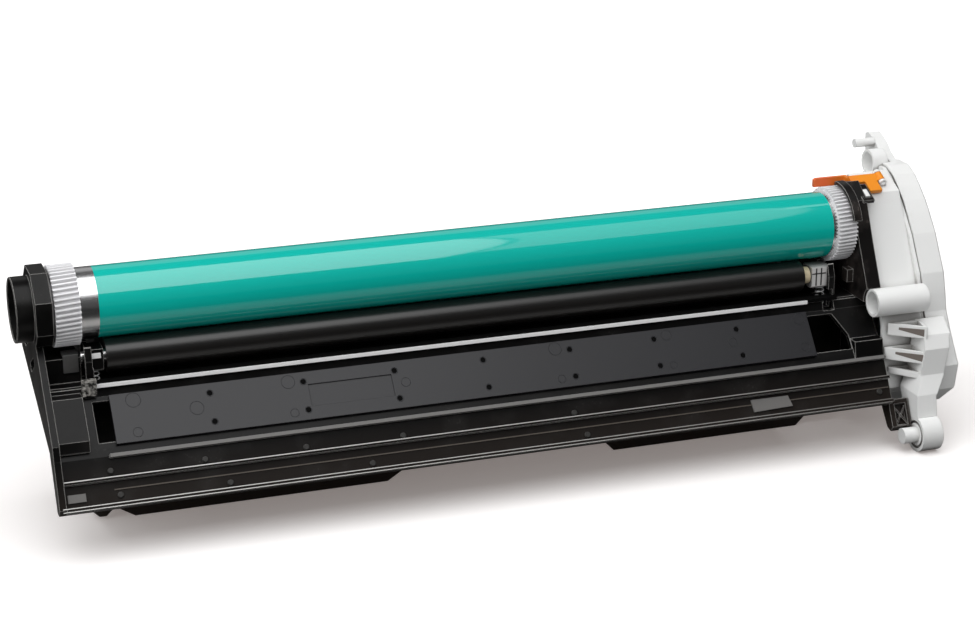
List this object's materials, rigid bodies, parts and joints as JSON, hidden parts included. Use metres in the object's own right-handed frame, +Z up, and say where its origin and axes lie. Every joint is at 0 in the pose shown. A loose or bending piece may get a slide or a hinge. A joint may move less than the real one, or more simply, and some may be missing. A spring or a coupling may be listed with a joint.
{
  "type": "printer drum unit",
  "caption": "Drum unit with a geared coated drum, sprung charging roller, waste auger, long black frame and white end covers with a lock lever.",
  "frame": {"origin": "centre of the mouth of the drive socket, on the drum's axis", "axes": "+X along the drum's axis from the drive socket to the white covers, +Y to the back, +Z up"},
  "size_m": [0.4192, 0.099, 0.1264],
  "materials": {
    "black_plastic": "fine grain",
    "plate_plastic": "smooth satin",
    "white_plastic": "satin",
    "gear_plastic": "satin",
    "coated_aluminium": "gloss coating, bare at the ends",
    "steel": "bright",
    "black_rubber": "matte",
    "blade_rubber": "matte",
    "orange_plastic": "satin",
    "cream_plastic": "satin",
    "grey_plastic": "satin",
    "film": "thin film",
    "felt": "felt"
  },
  "bodies": {
    "unit": {"main_frame": "black_plastic", "front_plate": "plate_plastic", "steel_stay": "steel", "cleaning_blade": "blade_rubber", "blade_bracket": "steel", "scoop_film": "film", "felt_pad": "felt", "left_end_plate": "black_plastic", "drive_socket": "black_plastic", "earth_bracket": "steel", "drum_pin": "steel", "idler_pin": "steel", "right_side_plate": "black_plastic", "right_inner_cover": "white_plastic", "right_outer_cover": "white_plastic", "cover_screws": "steel", "lever_pin": "steel", "left_roller_spring": "steel", "right_roller_spring": "steel"},
    "drum": {"drum_tube": "coated_aluminium", "left_drum_gear": "gear_plastic", "right_drum_gear": "gear_plastic"},
    "roller_carrier": {"left_roller_bearing": "black_plastic", "right_roller_bearing": "white_plastic", "roller_collar": "cream_plastic"},
    "roller": {"charging_roller": "black_rubber", "roller_shaft": "steel"},
    "idler": {"idler_gear": "gear_plastic"},
    "auger": {"waste_auger": "grey_plastic", "auger_gear": "gear_plastic"},
    "lever": {"lock_lever": "orange_plastic"}
  },
  "joints": [
    {"name": "drum_spin", "type": "hinge", "parent": "unit", "child": "drum", "pos_m": [0, 0, 0], "axis": [1, 0, 0], "continuous": true},
    {"name": "roller_lift", "type": "slide", "parent": "unit", "child": "roller_carrier", "axis": [0, 0, -1], "range_m": [0, 0.0012], "stiffness_N_per_m": 1200, "springref_m": -0.0022, "deforming": ["left_roller_spring", "right_roller_spring"]},
    {"name": "charging_roller_spin", "type": "hinge", "parent": "roller_carrier", "child": "roller", "pos_m": [0, -0.0077, -0.02093], "axis": [1, 0, 0], "continuous": true},
    {"name": "idler_spin", "type": "hinge", "parent": "unit", "child": "idler", "pos_m": [0, 0.01978, -0.01633], "axis": [1, 0, 0], "continuous": true},
    {"name": "auger_spin", "type": "hinge", "parent": "unit", "child": "auger", "pos_m": [0, 0.026, -0.031], "axis": [1, 0, 0], "continuous": true},
    {"name": "lever_lift", "type": "hinge", "parent": "unit", "child": "lever", "pos_m": [0.3982, 0.0036, 0.01781], "axis": [0, 0.8942, 0.4478], "range_deg": [0, 75]}
  ],
  "couplings": [
    {"joint": "charging_roller_spin", "follows": "drum_spin", "ratio": -2.1429},
    {"joint": "idler_spin", "follows": "drum_spin", "ratio": -1.8},
    {"joint": "auger_spin", "follows": "drum_spin", "ratio": 2.4545}
  ]
}
